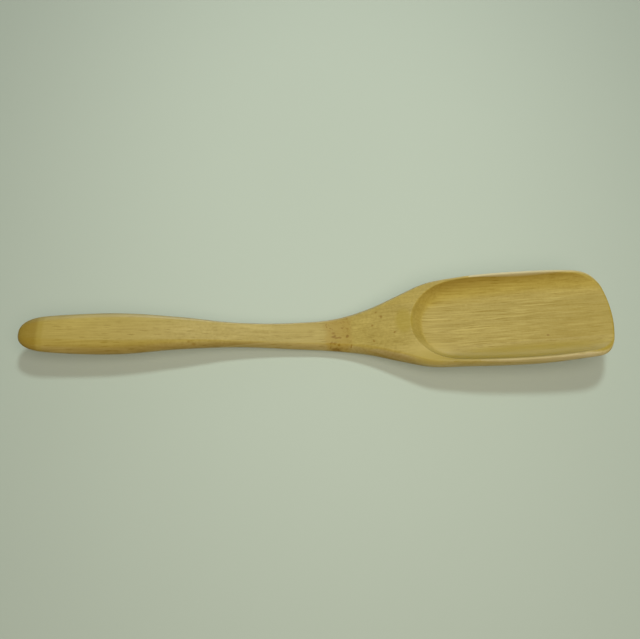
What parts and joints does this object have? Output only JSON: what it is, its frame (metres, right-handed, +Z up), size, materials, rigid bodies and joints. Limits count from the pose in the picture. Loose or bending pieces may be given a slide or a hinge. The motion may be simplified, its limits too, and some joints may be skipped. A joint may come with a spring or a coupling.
{
  "type": "bamboo spoon",
  "caption": "Long-handled bamboo kitchen spoon with a shallow scoop bowl, open at its thin front edge, built from glued bamboo strips.",
  "frame": {"origin": "on the table, under the middle of the spoon's length and width, as it rests", "axes": "+X along the spoon from the handle's end to the bowl's front edge, +Y to the left of a person holding the handle, +Z up"},
  "size_m": [0.3, 0.0526, 0.0223],
  "materials": {
    "bamboo": "sanded and lightly oiled, satin"
  },
  "bodies": {
    "root": {"bottom_centre_strip": "bamboo", "bottom_left_strip": "bamboo", "bottom_right_strip": "bamboo", "middle_handle_strip": "bamboo", "middle_bowl_strip": "bamboo", "middle_left_strip": "bamboo", "middle_right_strip": "bamboo", "top_left_rim_strip": "bamboo", "top_right_rim_strip": "bamboo"}
  },
  "joints": []
}
